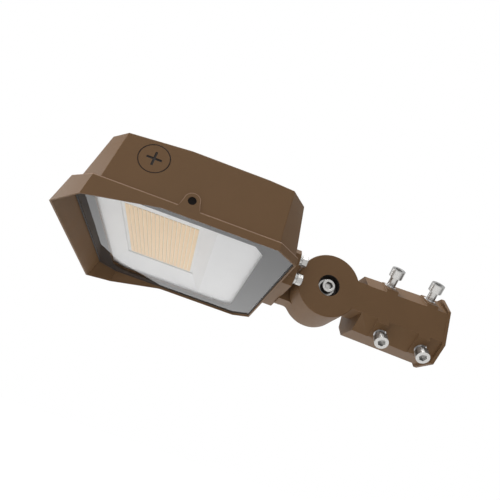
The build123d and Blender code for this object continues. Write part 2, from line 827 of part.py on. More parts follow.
# Front frame: lip, side tabs and the visor that grows deeper towards the front
with BuildPart() as front_frame:
    for down in (0, frame_height + visor_depth):
        with BuildSketch(Plane.XY.offset(joint_z - down)):
            filled(frame_outline(0, down))
    loft(ruled=True)
    fillet(front_frame.faces().sort_by(Axis.Z)[-1].edges(), frame_round)
    for down in (frame_flange, frame_height + visor_depth):
        with BuildSketch(Plane.XY.offset(joint_z - down)):
            filled(frame_outline(frame_wall, down))
    loft(ruled=True, mode=Mode.SUBTRACT)
    with BuildSketch(Plane.XY.offset(joint_z - frame_flange - 1)):
        filled(head_outline(
            head_half_width - ledge_inset, ledge_rear, ledge_front,
            ledge_corner, ledge_corner, ledge_corner, ledge_corner,
        ))
    extrude(amount=frame_flange + 2, mode=Mode.SUBTRACT)
    below = lip_z - 2 * visor_depth
    behind = head_y + cut_room / 2
    with BuildSketch(Plane.YZ.offset(-head_half_width - cut_room / 2)):
        with BuildLine():
            FilletPolyline(
                (behind, lip_z), (head_y - visor_start, lip_z),
                (head_y - visor_bend, lip_z - visor_bend_drop),
                (head_y - head_length - visor_flare_front, lip_z - visor_depth),
                (head_y - head_length - 2 * visor_flare_front, below),
                (behind, below),
                radius=(visor_ease, visor_ease, 0.5, 0.5), close=False,
            )
            Line((behind, below), (behind, lip_z))
        make_face()
    extrude(amount=2 * head_half_width + cut_room, mode=Mode.SUBTRACT)
    for side in (-1, 1):
        tab_inner = head_half_width - ledge_width + tab_gap
        tab_plane = face_plane(side * tab_inner, head_y - tab_place, joint_z + tab_rise, 90 - 90 * side)
        with BuildSketch(tab_plane):
            Circle(tab_radius)
            with BuildLine():
                foot = -side * (tab_rise + tab_foot)
                Polyline(
                    (-tab_base / 2, foot), (tab_base / 2, foot),
                    (tab_radius, 0), (-tab_radius, 0), close=True,
                )
            make_face()
        extrude(amount=ledge_width - tab_gap + tab_stand)
        with BuildSketch(tab_plane):
            Circle(tab_screw_radius + flange_hole_clearance)
        extrude(amount=ledge_width + 1, mode=Mode.SUBTRACT)
        with BuildSketch(tab_plane.offset(ledge_width - tab_gap + tab_stand - tab_recess)):
            Circle(tab_hole_radius)
        extrude(amount=tab_recess + 1, mode=Mode.SUBTRACT)
front_frame.part.label = "front_frame"

# Screws through the two side tabs
with BuildPart() as frame_screws:
    for side in (-1, 1):
        head_seat = head_half_width + tab_stand - tab_recess
        tab_plane = face_plane(side * head_seat, head_y - tab_place, joint_z + tab_rise, 90 - 90 * side)
        with BuildSketch(tab_plane):
            Circle(tab_hole_radius - thread_clearance)
        extrude(amount=tab_recess / 2)
        with BuildSketch(tab_plane):
            Circle(tab_screw_radius)
        extrude(amount=-tab_screw_length)
frame_screws.part.label = "frame_screws"

with BuildPart() as glass_lens:
    with BuildSketch(Plane.XY.offset(glass_z)):
        filled(frame_outline(frame_wall + glass_gap, frame_flange))
    extrude(amount=glass_thickness)
glass_lens.part.label = "glass_lens"

# Black silicone between the glass's rim and the frame
with BuildPart() as lens_gasket:
    with BuildSketch(Plane.XY.offset(glass_z)):
        ring_face(
            frame_outline(frame_wall, frame_flange),
            frame_outline(frame_wall + glass_gap, frame_flange),
        )
    extrude(amount=ledge_z - glass_z)
    with BuildSketch(Plane.XY.offset(ledge_z - glass_bed)):
        ring_face(
            frame_outline(frame_wall + glass_gap, frame_flange),
            head_outline(
                head_half_width - ledge_inset, ledge_rear, ledge_front,
                ledge_corner, ledge_corner, ledge_corner, ledge_corner,
            ),
        )
    extrude(amount=glass_bed)
lens_gasket.part.label = "lens_gasket"

with BuildPart() as led_board:
    with BuildSketch(Plane.XY.offset(board_z)):
        with Locations((0, head_y - board_middle)):
            Rectangle(board_length, board_width)
            with GridLocations(2 * board_screw_x, 2 * board_screw_y, 2, 2):
                Circle(board_screw_radius + thread_clearance, mode=Mode.SUBTRACT)
    extrude(amount=board_thickness)
led_board.part.label = "led_board"

# Phosphor strips over the rows of chips
strip_pitch = (strip_field + strip_gap) / strip_count
with BuildPart() as led_strips:
    with BuildSketch(Plane.XY.offset(board_z - strip_thickness)):
        with Locations((0, head_y - board_middle)):
            with GridLocations(1, strip_pitch, 1, strip_count):
                Rectangle(strip_length, strip_pitch - strip_gap)
    extrude(amount=strip_thickness)
led_strips.part.label = "led_strips"

with BuildPart() as led_board_screws:
    with BuildSketch(Plane.XY.offset(board_z - board_screw_head_height)):
        with Locations((0, head_y - board_middle)):
            with GridLocations(2 * board_screw_x, 2 * board_screw_y, 2, 2):
                Circle(board_screw_head)
    extrude(amount=board_screw_head_height)
    with BuildSketch(Plane.XY.offset(board_z)):
        with Locations((0, head_y - board_middle)):
            with GridLocations(2 * board_screw_x, 2 * board_screw_y, 2, 2):
                Circle(board_screw_radius)
    extrude(amount=board_thickness + board_screw_depth - 1)
led_board_screws.part.label = "led_board_screws"


def tray_well(share):
    """Outline of the reflector's well, from its mouth at 0 to its floor at 1."""
    half = tray_mouth_half + (tray_floor_half - tray_mouth_half) * share
    rear = tray_mouth_rear + (tray_floor_rear - tray_mouth_rear) * share
    front = tray_mouth_front + (tray_floor_front - tray_mouth_front) * share
    corner = 1 - 0.9 * share
    return head_outline(half, rear, front, 1, 1, tray_corner_x * corner, tray_corner_y * corner)


# Reflector: a flat panel over the driver and a shallow well around the light engine
tray_floor_z = board_z - tray_board_gap
with BuildPart() as reflector_tray:
    with BuildSketch(Plane.XY.offset(tray_z)):
        filled(housing_outline(tray_inset, 0))
    extrude(amount=tray_sheet)
    for share, z in ((0, tray_z), (1, tray_floor_z)):
        with BuildSketch(Plane.XY.offset(z + tray_sheet)):
            filled(tray_well(share))
    loft(ruled=True)
    for share, z in ((0, tray_z), (1, tray_floor_z)):
        with BuildSketch(Plane.XY.offset(z)):
            filled(tray_well(share))
    loft(ruled=True, mode=Mode.SUBTRACT)
    with BuildSketch(Plane.XY.offset(tray_floor_z)):
        filled(tray_well(1))
    extrude(amount=2 * tray_sheet, mode=Mode.SUBTRACT)
    with BuildSketch(Plane.XY.offset(tray_z)):
        with Locations(*tray_screw_places()):
            Circle(tray_screw_radius + thread_clearance)
    extrude(amount=tray_sheet, mode=Mode.SUBTRACT)
reflector_tray.part.label = "reflector_tray"

with BuildPart() as reflector_screws:
    with BuildSketch(Plane.XY.offset(tray_z - tray_screw_head_height)):
        with Locations(*tray_screw_places()):
            Circle(tray_screw_head)
    extrude(amount=tray_screw_head_height)
    with BuildSketch(Plane.XY.offset(tray_z)):
        with Locations(*tray_screw_places()):
            Circle(tray_screw_radius)
    extrude(amount=tray_sheet + 2 * tray_screw_radius)
reflector_screws.part.label = "reflector_screws"

# Driver on its bracket, hung from the back wall
with BuildPart() as driver_bracket:
    with BuildSketch(Plane.XY.offset(driver_z)):
        with Locations(((bracket_right - bracket_left) / 2, head_y - driver_middle)):
            Rectangle(bracket_right + bracket_left, bracket_width)
        with Locations(*bracket_screw_places()):
            Circle(bracket_screw_radius + flange_hole_clearance, mode=Mode.SUBTRACT)
    extrude(amount=bracket_sheet)
driver_bracket.part.label = "driver_bracket"

with BuildPart() as led_driver:
    with BuildSketch(Plane.XY.offset(driver_z - driver_height)):
        with Locations((0, head_y - driver_middle)):
            RectangleRounded(driver_length, driver_width, driver_round)
    extrude(amount=driver_height)
    fillet(led_driver.faces().sort_by(Axis.Z)[0].edges(), driver_round / 2)
led_driver.part.label = "led_driver"

with BuildPart() as driver_screws:
    with BuildSketch(Plane.XY.offset(driver_z - bracket_screw_head_height)):
        with Locations(*bracket_screw_places()):
            Circle(bracket_screw_head)
    extrude(amount=bracket_screw_head_height)
    with BuildSketch(Plane.XY.offset(driver_z)):
        with Locations(*bracket_screw_places()):
            Circle(bracket_screw_radius)
    extrude(amount=bracket_sheet + bracket_screw_depth - 1)
driver_screws.part.label = "driver_screws"

with BuildPart() as terminal_block:
    with BuildSketch(Plane.XY.offset(driver_z - terminal_height)):
        with Locations((terminal_x, head_y - driver_middle)):
            Rectangle(terminal_width, terminal_length)
    extrude(amount=terminal_height)
    chamfer(terminal_block.faces().sort_by(Axis.Z)[0].edges().filter_by(Axis.Y), terminal_width / 6)
    with BuildSketch(Plane.XY.offset(driver_z - terminal_height)):
        with Locations((terminal_x, head_y - driver_middle)):
            with GridLocations(1, terminal_length / terminal_poles, 1, terminal_poles):
                Circle(terminal_pole_radius)
    extrude(amount=terminal_pole_depth, mode=Mode.SUBTRACT)
terminal_block.part.label = "terminal_block"


def lead(offset):
    """One lead as a bent tube, from the board's end to the driver's end."""
    board_end = board_length / 2 - lead_board_inset
    board_y = head_y - board_middle + offset
    driver_y = head_y - driver_middle - offset
    low = board_z - lead_radius - thread_clearance
    high = driver_z - lead_driver_height
    points = (
        (-board_end, board_y, low), (offset - lead_channel, board_y, low),
        (offset - lead_channel, driver_y, high), (-driver_length / 2, driver_y, high),
    )
    with BuildPart() as tube:
        with BuildLine():
            path = FilletPolyline(*points, radius=lead_bend)
        with BuildSketch(Plane(origin=path @ 0, z_dir=path % 0)):
            Circle(lead_radius)
        sweep()
    return tube


led_lead_positive = lead(lead_pitch / 2)
led_lead_positive.part.label = "led_lead_positive"
led_lead_negative = lead(-lead_pitch / 2)
led_lead_negative.part.label = "led_lead_negative"

# Flush plug with a cross recess over the photocell port
with BuildPart() as photocell_plug:
    with BuildSketch(plug_plane):
        Circle(plug_radius)
    extrude(amount=-plug_flange)
    with BuildSketch(plug_plane.offset(-plug_flange)):
        Circle(plug_neck_radius)
    extrude(amount=-plug_neck_length)
    with BuildSketch(plug_plane):
        Rectangle(plug_cross_length, plug_cross_width)
        Rectangle(plug_cross_width, plug_cross_length)
    extrude(amount=-plug_cross_depth, mode=Mode.SUBTRACT)
photocell_plug.part.label = "photocell_plug"

with BuildPart() as plug_seal:
    with BuildSketch(plug_plane.offset(-plug_flange)):
        Circle(plug_neck_radius + thread_clearance + plug_seal_width)
        Circle(plug_neck_radius + thread_clearance, mode=Mode.SUBTRACT)
    extrude(amount=-plug_seal_thickness)
plug_seal.part.label = "plug_seal"

os.makedirs("parts", exist_ok=True)
for piece in (
    slip_fitter, clamp_screws, pivot_bolt, pivot_washers, pivot_nut, knuckle_seal,
    knuckle_arm, flange_gasket, flange_washers, flange_lock_washers, flange_bolts, wire_grommet,
    rear_housing, housing_gasket, front_frame, frame_screws, glass_lens, lens_gasket,
    led_board, led_strips, led_board_screws, reflector_tray, reflector_screws,
    driver_bracket, led_driver, driver_screws, terminal_block,
    led_lead_positive, led_lead_negative, photocell_plug, plug_seal,
):
    export_step(piece.part, f"parts/{piece.part.label}.step")
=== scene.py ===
import math

import bmesh
import bpy
from mathutils import Matrix, Vector
from mathutils.bvhtree import BVHTree


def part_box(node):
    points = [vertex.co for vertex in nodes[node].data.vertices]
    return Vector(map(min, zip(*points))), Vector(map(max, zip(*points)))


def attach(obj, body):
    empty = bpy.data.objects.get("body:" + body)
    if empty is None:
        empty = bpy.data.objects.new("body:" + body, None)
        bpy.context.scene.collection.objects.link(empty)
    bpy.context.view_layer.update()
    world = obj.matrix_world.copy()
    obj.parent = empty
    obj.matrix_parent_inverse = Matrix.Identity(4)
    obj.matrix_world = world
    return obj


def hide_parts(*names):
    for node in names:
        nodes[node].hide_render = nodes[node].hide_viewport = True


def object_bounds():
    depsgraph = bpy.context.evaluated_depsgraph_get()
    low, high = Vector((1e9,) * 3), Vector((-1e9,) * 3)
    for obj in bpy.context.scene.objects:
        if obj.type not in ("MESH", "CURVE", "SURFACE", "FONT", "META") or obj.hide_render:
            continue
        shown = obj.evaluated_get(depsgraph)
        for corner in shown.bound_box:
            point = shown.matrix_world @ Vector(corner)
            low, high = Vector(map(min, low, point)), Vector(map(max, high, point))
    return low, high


# Dresses the floodlight's solids: finishes, rounded edges, the print on the glass, bare metal round the
# clamp screws, and the studio with its camera. Lengths are in metres, and +Z is the back of the lamp head.

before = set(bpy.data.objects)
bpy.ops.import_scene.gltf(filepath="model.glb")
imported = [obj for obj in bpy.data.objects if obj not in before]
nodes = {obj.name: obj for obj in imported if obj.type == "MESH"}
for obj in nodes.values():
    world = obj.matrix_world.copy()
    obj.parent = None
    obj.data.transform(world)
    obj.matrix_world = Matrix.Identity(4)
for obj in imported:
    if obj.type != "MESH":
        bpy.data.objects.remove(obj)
cad_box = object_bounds()

MM = 0.001
WHITE = (1, 1, 1, 1)


# Shader nodes

PRINCIPLED = "Principled BSDF"

# The Mix node has sockets of one name for each kind of data, so its colour sockets go by number
MIX_FIRST = 6
MIX_SECOND = 7
MIX_RESULT = 2


def new_material(name):
    """A material with only a Principled shader, and its nodes, shader and output."""
    material = bpy.data.materials.new(name)
    material.use_nodes = True
    tree = material.node_tree
    tree.nodes.clear()
    out = tree.nodes.new("ShaderNodeOutputMaterial")
    shader = tree.nodes.new("ShaderNodeBsdfPrincipled")
    tree.links.new(shader.outputs["BSDF"], out.inputs["Surface"])
    return material, tree, shader, out


def linear(red, green, blue):
    """An sRGB colour of 0 to 255 as Blender's linear colour."""
    def curve(value):
        value /= 255
        return value / 12.92 if value <= 0.04045 else ((value + 0.055) / 1.055) ** 2.4

    return (curve(red), curve(green), curve(blue), 1.0)


def math_node(tree, operation, *values):
    """The output of a math node, with numbers or other outputs for its inputs."""
    node = tree.nodes.new("ShaderNodeMath")
    node.operation = operation
    for socket, value in zip(node.inputs, values):
        if isinstance(value, (int, float)):
            socket.default_value = value
        else:
            tree.links.new(value, socket)
    return node.outputs[0]


def object_place(tree):
    """X, Y and Z of a point in the object's own coordinates."""
    coords = tree.nodes.new("ShaderNodeTexCoord")
    split = tree.nodes.new("ShaderNodeSeparateXYZ")
    tree.links.new(coords.outputs["Object"], split.inputs["Vector"])
    return split.outputs["X"], split.outputs["Y"], split.outputs["Z"]


def offsets(tree, middle):
    """How far a point lies from a middle, along Y without its sign, and along Z."""
    y, z = object_place(tree)[1:]
    along = math_node(tree, "ABSOLUTE", math_node(tree, "SUBTRACT", y, middle.y))
    return along, math_node(tree, "SUBTRACT", z, middle.z)


def distance(tree, first, second):
    """The length of two offsets together."""
    lengths = [math_node(tree, "ABSOLUTE", value) for value in (first, second)]
    squares = [math_node(tree, "POWER", length, 2.0) for length in lengths]
    return math_node(tree, "SQRT", math_node(tree, "ADD", *squares))


def noise(tree, scale, detail=2.0, roughness=0.5, stretch=(1, 1, 1)):
    """Noise over the object's own coordinates."""
    coords = tree.nodes.new("ShaderNodeTexCoord")
    mapping = tree.nodes.new("ShaderNodeMapping")
    mapping.inputs["Scale"].default_value = stretch
    texture = tree.nodes.new("ShaderNodeTexNoise")
    texture.inputs["Scale"].default_value = scale
    texture.inputs["Detail"].default_value = detail
    texture.inputs["Roughness"].default_value = roughness
    tree.links.new(coords.outputs["Object"], mapping.inputs["Vector"])
    tree.links.new(mapping.outputs["Vector"], texture.inputs["Vector"])
    return texture.outputs["Fac"]


def spread(tree, value, low, high, start=0.3, end=0.7):
    """A value of start to end spread over low to high."""
    node = tree.nodes.new("ShaderNodeMapRange")
    for socket, amount in (("From Min", start), ("From Max", end), ("To Min", low), ("To Max", high)):
        node.inputs[socket].default_value = amount
    tree.links.new(value, node.inputs["Value"])
    return node.outputs["Result"]


def two_tone(tree, value, dark, light, start=0.3, end=0.7):
    """A colour between dark and light by a value."""
    ramp = tree.nodes.new("ShaderNodeValToRGB")
    for stop, place, colour in zip(ramp.color_ramp.elements, (start, end), (dark, light)):
        stop.position = place
        stop.color = colour
    tree.links.new(value, ramp.inputs["Fac"])
    return ramp.outputs["Color"]


def bump(tree, shader, value, height, strength=1.0, under=None):
    """Relief of a height on a shader, over the relief under it."""
    node = tree.nodes.new("ShaderNodeBump")
    node.inputs["Strength"].default_value = strength
    node.inputs["Distance"].default_value = height
    tree.links.new(value, node.inputs["Height"])
    if under is not None:
        tree.links.new(under, node.inputs["Normal"])
    tree.links.new(node.outputs["Normal"], shader.inputs["Normal"])
    return node.outputs["Normal"]


def cover(tree, share, colour):
    """Puts another colour on a material's shader where the share is one."""
    shader = tree.nodes[PRINCIPLED]
    mix = tree.nodes.new("ShaderNodeMix")
    mix.data_type = "RGBA"
    tree.links.new(share, mix.inputs["Factor"])
    tree.links.new(shader.inputs["Base Color"].links[0].from_socket, mix.inputs[MIX_FIRST])
    mix.inputs[MIX_SECOND].default_value = colour
    tree.links.new(mix.outputs[MIX_RESULT], shader.inputs["Base Color"])


# Materials

COAT_SPECULAR = 0.14
COAT_SPECK_SHARE = 0.3
SPECK_DARK = (0.8, 0.8, 0.8, 1)
# A lighter tone along the round of the frame's side tabs: a painted highlight
TAB_HIGHLIGHT_TONE = linear(146, 118, 96)
# A dark tone along the plug's rim: painted shade of the gap round it
PAINTED_GAP_SHADE = linear(48, 33, 22)
FIELD_TONE = linear(255, 244, 222)

# Painted reflection in the steel: its tones go by how far a face turns towards the direction below, as
# light and dark streaks that run along round sides
STEEL_REFLECTION_TURN = (0.168, -0.48, -0.86)
STEEL_REFLECTION_TONES = (
    (0.0, 0.5), (0.17, 0.3), (0.28, 0.14), (0.43, 0.5),
    (0.58, 0.46), (0.7, 0.16), (0.84, 0.53), (1.0, 0.5),
)
STEEL_TINT = (1.0, 0.985, 0.955)
STEEL_METALLIC = 0.7

CHIP_HALF_PITCH = 1.4 * MM
CHIP_GAP_START = 0.15 * MM
CHIP_GAP_END = 0.5 * MM

GLASS_TINT = (0.966, 0.966, 0.968, 1)
GLASS_IOR = 1.52
GLASS_ROUGHNESS = 0.02

# The painted highlight in a narrow line along the outline of the frame's side tabs, and the painted shade
# in a narrow line along the plug's rim
TAB_RADIUS = 7.9 * MM
TAB_RISE = 7.3 * MM
TAB_FLARE = 0.33
TAB_LINE = 0.7 * MM
PLUG_LINE = 0.8 * MM
plug_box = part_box("photocell_plug")


def plain_material(
        name, dark, light, rough, metal=0.0, grain=900.0, height=0.01 * MM, stretch=(1, 1, 1),
        specular=0.5):
    """A finish with slight changes of colour and roughness and a fine grain."""
    material, tree, shader, out = new_material(name)
    shader.inputs["Metallic"].default_value = metal
    shader.inputs["Specular IOR Level"].default_value = specular
    blotch = noise(tree, scale=35.0, detail=3.0)
    tree.links.new(two_tone(tree, blotch, dark, light), shader.inputs["Base Color"])
    fine = noise(tree, grain, detail=3.0, roughness=0.6, stretch=stretch)
    tree.links.new(spread(tree, fine, rough[0], rough[1]), shader.inputs["Roughness"])
    bump(tree, shader, fine, height)
    return material


def powder_coat(name, dark, light):
    """Smooth powder coat: a faint orange peel, fine speckle and slightly worn sheen."""
    material, tree, shader, out = new_material(name)
    blotch = noise(tree, scale=14.0, detail=4.0, roughness=0.6)
    speck = noise(tree, scale=2600.0, roughness=0.7)
    mix = tree.nodes.new("ShaderNodeMix")
    mix.data_type = "RGBA"
    mix.blend_type = "MULTIPLY"
    mix.inputs["Factor"].default_value = COAT_SPECK_SHARE
    tree.links.new(two_tone(tree, blotch, dark, light, start=0.35, end=0.65), mix.inputs[MIX_FIRST])
    tree.links.new(two_tone(tree, speck, SPECK_DARK, WHITE), mix.inputs[MIX_SECOND])
    tree.links.new(mix.outputs[MIX_RESULT], shader.inputs["Base Color"])
    tree.links.new(spread(tree, blotch, low=0.46, high=0.56), shader.inputs["Roughness"])
    peel = noise(tree, scale=520.0)
    under = bump(tree, shader, peel, height=0.06 * MM, strength=0.55)
    bump(tree, shader, speck, height=0.012 * MM, strength=0.5, under=under)
    shader.inputs["Specular IOR Level"].default_value = COAT_SPECULAR
    return material


def tab_highlight_coat(coat):
    """A copy of the coat with a painted highlight in a narrow line along the outline of the frame's side
    tabs.
    """
    material = coat.copy()
    material.name = "bronze_frame_coat_painted_highlight"
    tree = material.node_tree
    low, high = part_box("frame_screws")
    along, up = offsets(tree, (low + high) / 2)
    over = math_node(tree, "MAXIMUM", up, 0.0)
    below = math_node(tree, "MAXIMUM", math_node(tree, "SUBTRACT", 0.0, up), 0.0)
    flare = math_node(tree, "MULTIPLY", below, TAB_FLARE)
    reach = math_node(tree, "SUBTRACT", distance(tree, along, over), flare)
    on_line = math_node(tree, "COMPARE", reach, TAB_RADIUS - TAB_LINE / 2, TAB_LINE / 2)
    on_tab = math_node(tree, "GREATER_THAN", up, -TAB_RISE)
    cover(tree, math_node(tree, "MULTIPLY", on_line, on_tab), TAB_HIGHLIGHT_TONE)
    return material


def plug_coat(coat):
    """A copy of the coat with painted shade of the gap in a narrow line along the plug's rim."""
    material = coat.copy()
    material.name = "bronze_plug_coat_painted_shade"
    tree = material.node_tree
    low, high = plug_box
    along, up = offsets(tree, (low + high) / 2)
    rim = (high.y - low.y) / 2 - PLUG_LINE
    cover(tree, math_node(tree, "GREATER_THAN", distance(tree, along, up), rim), PAINTED_GAP_SHADE)
    return material


def bright_steel():
    """Turned stainless steel: painted reflection as tones that run along its round sides, and fine tool
    marks.
    """
    material, tree, shader, out = new_material("stainless_steel")
    shader.inputs["Metallic"].default_value = STEEL_METALLIC
    coords = tree.nodes.new("ShaderNodeTexCoord")
    turn = tree.nodes.new("ShaderNodeVectorMath")
    turn.operation = "DOT_PRODUCT"
    turn.inputs[1].default_value = STEEL_REFLECTION_TURN
    tree.links.new(coords.outputs["Normal"], turn.inputs[0])
    ramp = tree.nodes.new("ShaderNodeValToRGB")
    stops = ramp.color_ramp.elements
    while len(stops) < len(STEEL_REFLECTION_TONES):
        stops.new(0.5)
    for stop, (place, tone) in zip(stops, STEEL_REFLECTION_TONES):
        stop.position = place
        stop.color = [tone * tint for tint in STEEL_TINT] + [1]
    towards = spread(tree, turn.outputs["Value"], low=0.0, high=1.0, start=-1.0, end=1.0)
    tree.links.new(towards, ramp.inputs["Fac"])
    tree.links.new(ramp.outputs["Color"], shader.inputs["Base Color"])
    fine = noise(tree, scale=1400.0, detail=3.0, roughness=0.6)
    tree.links.new(spread(tree, fine, low=0.24, high=0.34), shader.inputs["Roughness"])
    bump(tree, shader, fine, height=0.003 * MM)
    return material


def board_white():
    """White solder mask, with pale silicone over the field between the rows of chips."""
    material = plain_material(
        "white_solder_mask", linear(232, 231, 229), linear(236, 235, 233), (0.35, 0.45))
    tree = material.node_tree
    low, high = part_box("led_strips")
    middle = (low + high) / 2
    half = (high - low) / 2
    x, y = object_place(tree)[:2]
    across = math_node(tree, "COMPARE", x, middle.x, half.x)
    along = math_node(tree, "COMPARE", y, middle.y, half.y)
    cover(tree, math_node(tree, "MULTIPLY", across, along), FIELD_TONE)
    return material


def phosphor():
    """Warm phosphor silicone over rows of small chips, which show as soft squares."""
    material, tree, shader, out = new_material("led_phosphor")
    wave = math_node(tree, "PINGPONG", object_place(tree)[0], CHIP_HALF_PITCH)
    chip = spread(tree, wave, low=0.0, high=1.0, start=CHIP_GAP_START, end=CHIP_GAP_END)
    tone = two_tone(tree, chip, linear(255, 224, 174), linear(251, 214, 158), start=0.0, end=1.0)
    tree.links.new(tone, shader.inputs["Base Color"])
    fine = noise(tree, scale=800.0)
    tree.links.new(spread(tree, fine, low=0.5, high=0.6), shader.inputs["Roughness"])
    bump(tree, shader, chip, height=0.06 * MM, strength=0.4)
    return material


def clear_glass():
    """Clear pane: light goes straight through, and its outside mirrors more at a glancing angle."""
    material, tree, shader, out = new_material("clear_glass")
    tree.nodes.remove(shader)
    clear = tree.nodes.new("ShaderNodeBsdfTransparent")
    clear.inputs["Color"].default_value = GLASS_TINT
    mirror = tree.nodes.new("ShaderNodeBsdfGlossy")
    mirror.inputs["Roughness"].default_value = GLASS_ROUGHNESS
    fresnel = tree.nodes.new("ShaderNodeFresnel")
    fresnel.inputs["IOR"].default_value = GLASS_IOR
    geometry = tree.nodes.new("ShaderNodeNewGeometry")
    outside = math_node(tree, "SUBTRACT", 1.0, geometry.outputs["Backfacing"])
    mix = tree.nodes.new("ShaderNodeMixShader")
    tree.links.new(math_node(tree, "MULTIPLY", fresnel.outputs["Fac"], outside), mix.inputs["Fac"])
    tree.links.new(clear.outputs["BSDF"], mix.inputs[1])
    tree.links.new(mirror.outputs["BSDF"], mix.inputs[2])
    tree.links.new(mix.outputs["Shader"], out.inputs["Surface"])
    return material


BRONZE = powder_coat("bronze_powder_coat", linear(109, 83, 57), linear(112, 85, 59))
# A lighter bronze for rounded edges and the frame's top round: a painted highlight
BRONZE_EDGE_HIGHLIGHT = powder_coat("bronze_painted_edge_highlight", linear(140, 113, 91), linear(148, 120, 97))
STEEL = bright_steel()
BLACK_STEEL = plain_material(
    "black_oxide_steel", (0.004, 0.003, 0.002, 1), (0.008, 0.006, 0.005, 1), (0.7, 0.85), specular=0.1)
# SHADE is painted shade: a dark colour on recess walls, gaps and the knuckle bolt head's wall, where shade
# and dark reflection fall
SHADE = plain_material("recess_painted_shade", linear(26, 18, 12), linear(31, 22, 15), (0.6, 0.8))
RUBBER = plain_material("black_rubber", (0.012, 0.011, 0.011, 1), (0.02, 0.019, 0.018, 1), (0.6, 0.75))
REFLECTOR = plain_material(
    "white_reflector", linear(234, 234, 233), linear(239, 239, 238), (0.42, 0.5), grain=300.0)
BOARD = board_white()
SHEET = plain_material(
    "bare_aluminium", (0.55, 0.55, 0.56, 1), (0.64, 0.64, 0.65, 1), (0.35, 0.5), metal=1.0,
    height=0.008 * MM, stretch=(1, 30, 1))
PALE_PLASTIC = plain_material("pale_nylon", linear(226, 221, 209), linear(232, 228, 218), (0.35, 0.45))
LEAD_RED = plain_material("red_wire_cover", linear(168, 30, 24), linear(182, 36, 30), (0.4, 0.5))
LEAD_BLACK = plain_material("black_wire_cover", linear(26, 26, 26), linear(34, 34, 34), (0.4, 0.5))
PHOSPHOR = phosphor()
GLASS = clear_glass()
BORDER = plain_material(
    "printed_border", linear(59, 59, 60), linear(63, 63, 64), (0.5, 0.6), grain=600.0, height=0.001 * MM,
    specular=0.0)


# Shapes

WELD = 0.002 * MM
FLAT_TURN = math.radians(0.6)
EDGE_TURN = math.radians(28.0)
SMOOTH_TURN = math.radians(32.0)
EDGE_SLOT = 1
SHADE_SLOT = 2


def link(obj):
    """Puts an object in the scene."""
    bpy.context.scene.collection.objects.link(obj)
    return obj


def mesh_object(name, bm, material):
    """An object from a finished bmesh."""
    mesh = bpy.data.meshes.new(name)
    bm.to_mesh(mesh)
    bm.free()
    obj = link(bpy.data.objects.new(name, mesh))
    mesh.materials.append(material)
    return obj


def smooth_by_angle(mesh):
    """Smooth faces, with sharp edges where the faces turn by more than SMOOTH_TURN."""
    for polygon in mesh.polygons:
        polygon.use_smooth = True
    mesh.set_sharp_from_angle(angle=SMOOTH_TURN)


def join_rings(bm, rings):
    """Faces between each ring of points and the next, and between the last ring and the first."""
    for ring, following in zip(rings, rings[1:] + rings[:1]):
        for i in range(len(ring)):
            j = (i + 1) % len(ring)
            bm.faces.new((ring[i], ring[j], following[j], following[i]))
    bmesh.ops.recalc_face_normals(bm, faces=bm.faces)


def dressed(node, name, body, material, width, edge=None, shade=None, highlit=None, segments=3):
    """A copy of a CAD node with welded faces and rounded convex edges, which stands for that node.

    The rounded edges, and the faces that the highlight test picks, take the material edge, or else the
    piece's own. On the bronze castings that edge material is a painted highlight, and on the plug it is
    painted shade.
    The faces for which shade is true take SHADE, a painted shade. A highlighted edge isn't rounded where it
    meets such a face.
    """
    bm = bmesh.new()
    bm.from_mesh(nodes[node].data)
    bmesh.ops.remove_doubles(bm, verts=bm.verts, dist=WELD)
    bmesh.ops.dissolve_limit(
        bm, angle_limit=FLAT_TURN, verts=bm.verts, edges=bm.edges, use_dissolve_boundaries=False)
    bmesh.ops.recalc_face_normals(bm, faces=bm.faces)
    for face in bm.faces:
        if shade and shade(face.calc_center_median(), face.normal):
            face.material_index = SHADE_SLOT
        elif highlit and highlit(face.calc_center_median(), face.normal):
            face.material_index = EDGE_SLOT
    weight = bm.edges.layers.float.new("bevel_weight_edge")
    for line in bm.edges:
        if line.is_manifold and line.is_convex and line.calc_face_angle() > EDGE_TURN:
            shaded = any(face.material_index == SHADE_SLOT for face in line.link_faces)
            line[weight] = 0.0 if shaded and edge is BRONZE_EDGE_HIGHLIGHT else 1.0
    obj = mesh_object(name, bm, material)
    obj.data.materials.append(edge or material)
    obj.data.materials.append(SHADE)
    bevel = obj.modifiers.new("edges", "BEVEL")
    bevel.width = width
    bevel.segments = segments
    bevel.limit_method = "WEIGHT"
    bevel.use_clamp_overlap = True
    bevel.miter_outer = "MITER_ARC"
    bevel.material = EDGE_SLOT
    smooth_by_angle(obj.data)
    flat = obj.modifiers.new("flat_faces", "WEIGHTED_NORMAL")
    flat.keep_sharp = True
    flat.weight = 100
    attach(obj, body)
    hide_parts(node)


def paint(node, material):
    """Gives a CAD node that stays its material."""
    mesh = nodes[node].data
    mesh.materials.clear()
    mesh.materials.append(material)


# Castings and plug

plug_middle = (plug_box[0] + plug_box[1]) / 2
PLUG_REACH = (plug_box[1].y - plug_box[0].y) / 2 + 1.0 * MM
bolt_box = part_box("pivot_bolt")
bolt_middle = (bolt_box[0] + bolt_box[1]) / 2
COUNTERBORE = 13.0 * MM
frame_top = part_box("rear_housing")[0].z
FRAME_ROUND = 1.5 * MM
LEVEL = 0.97
UPRIGHT = 0.1
SIDEWAYS = 0.5

# The housing's side leans by its draft, and the plug lies in it
SIDE_NORMAL = Vector((0.9987, 0, 0.0515))
CROSS_FLOOR = 0.4 * MM
plug_face = max((v.co for v in nodes["photocell_plug"].data.vertices), key=lambda co: co.dot(SIDE_NORMAL))


def in_plug_gap(centre, normal):
    """The wall of the housing's recess round the plug, which takes painted shade."""
    reach = math.hypot(centre.y - plug_middle.y, centre.z - plug_middle.z)
    return centre.x > plug_box[0].x and reach < PLUG_REACH and abs(normal.x) < SIDEWAYS


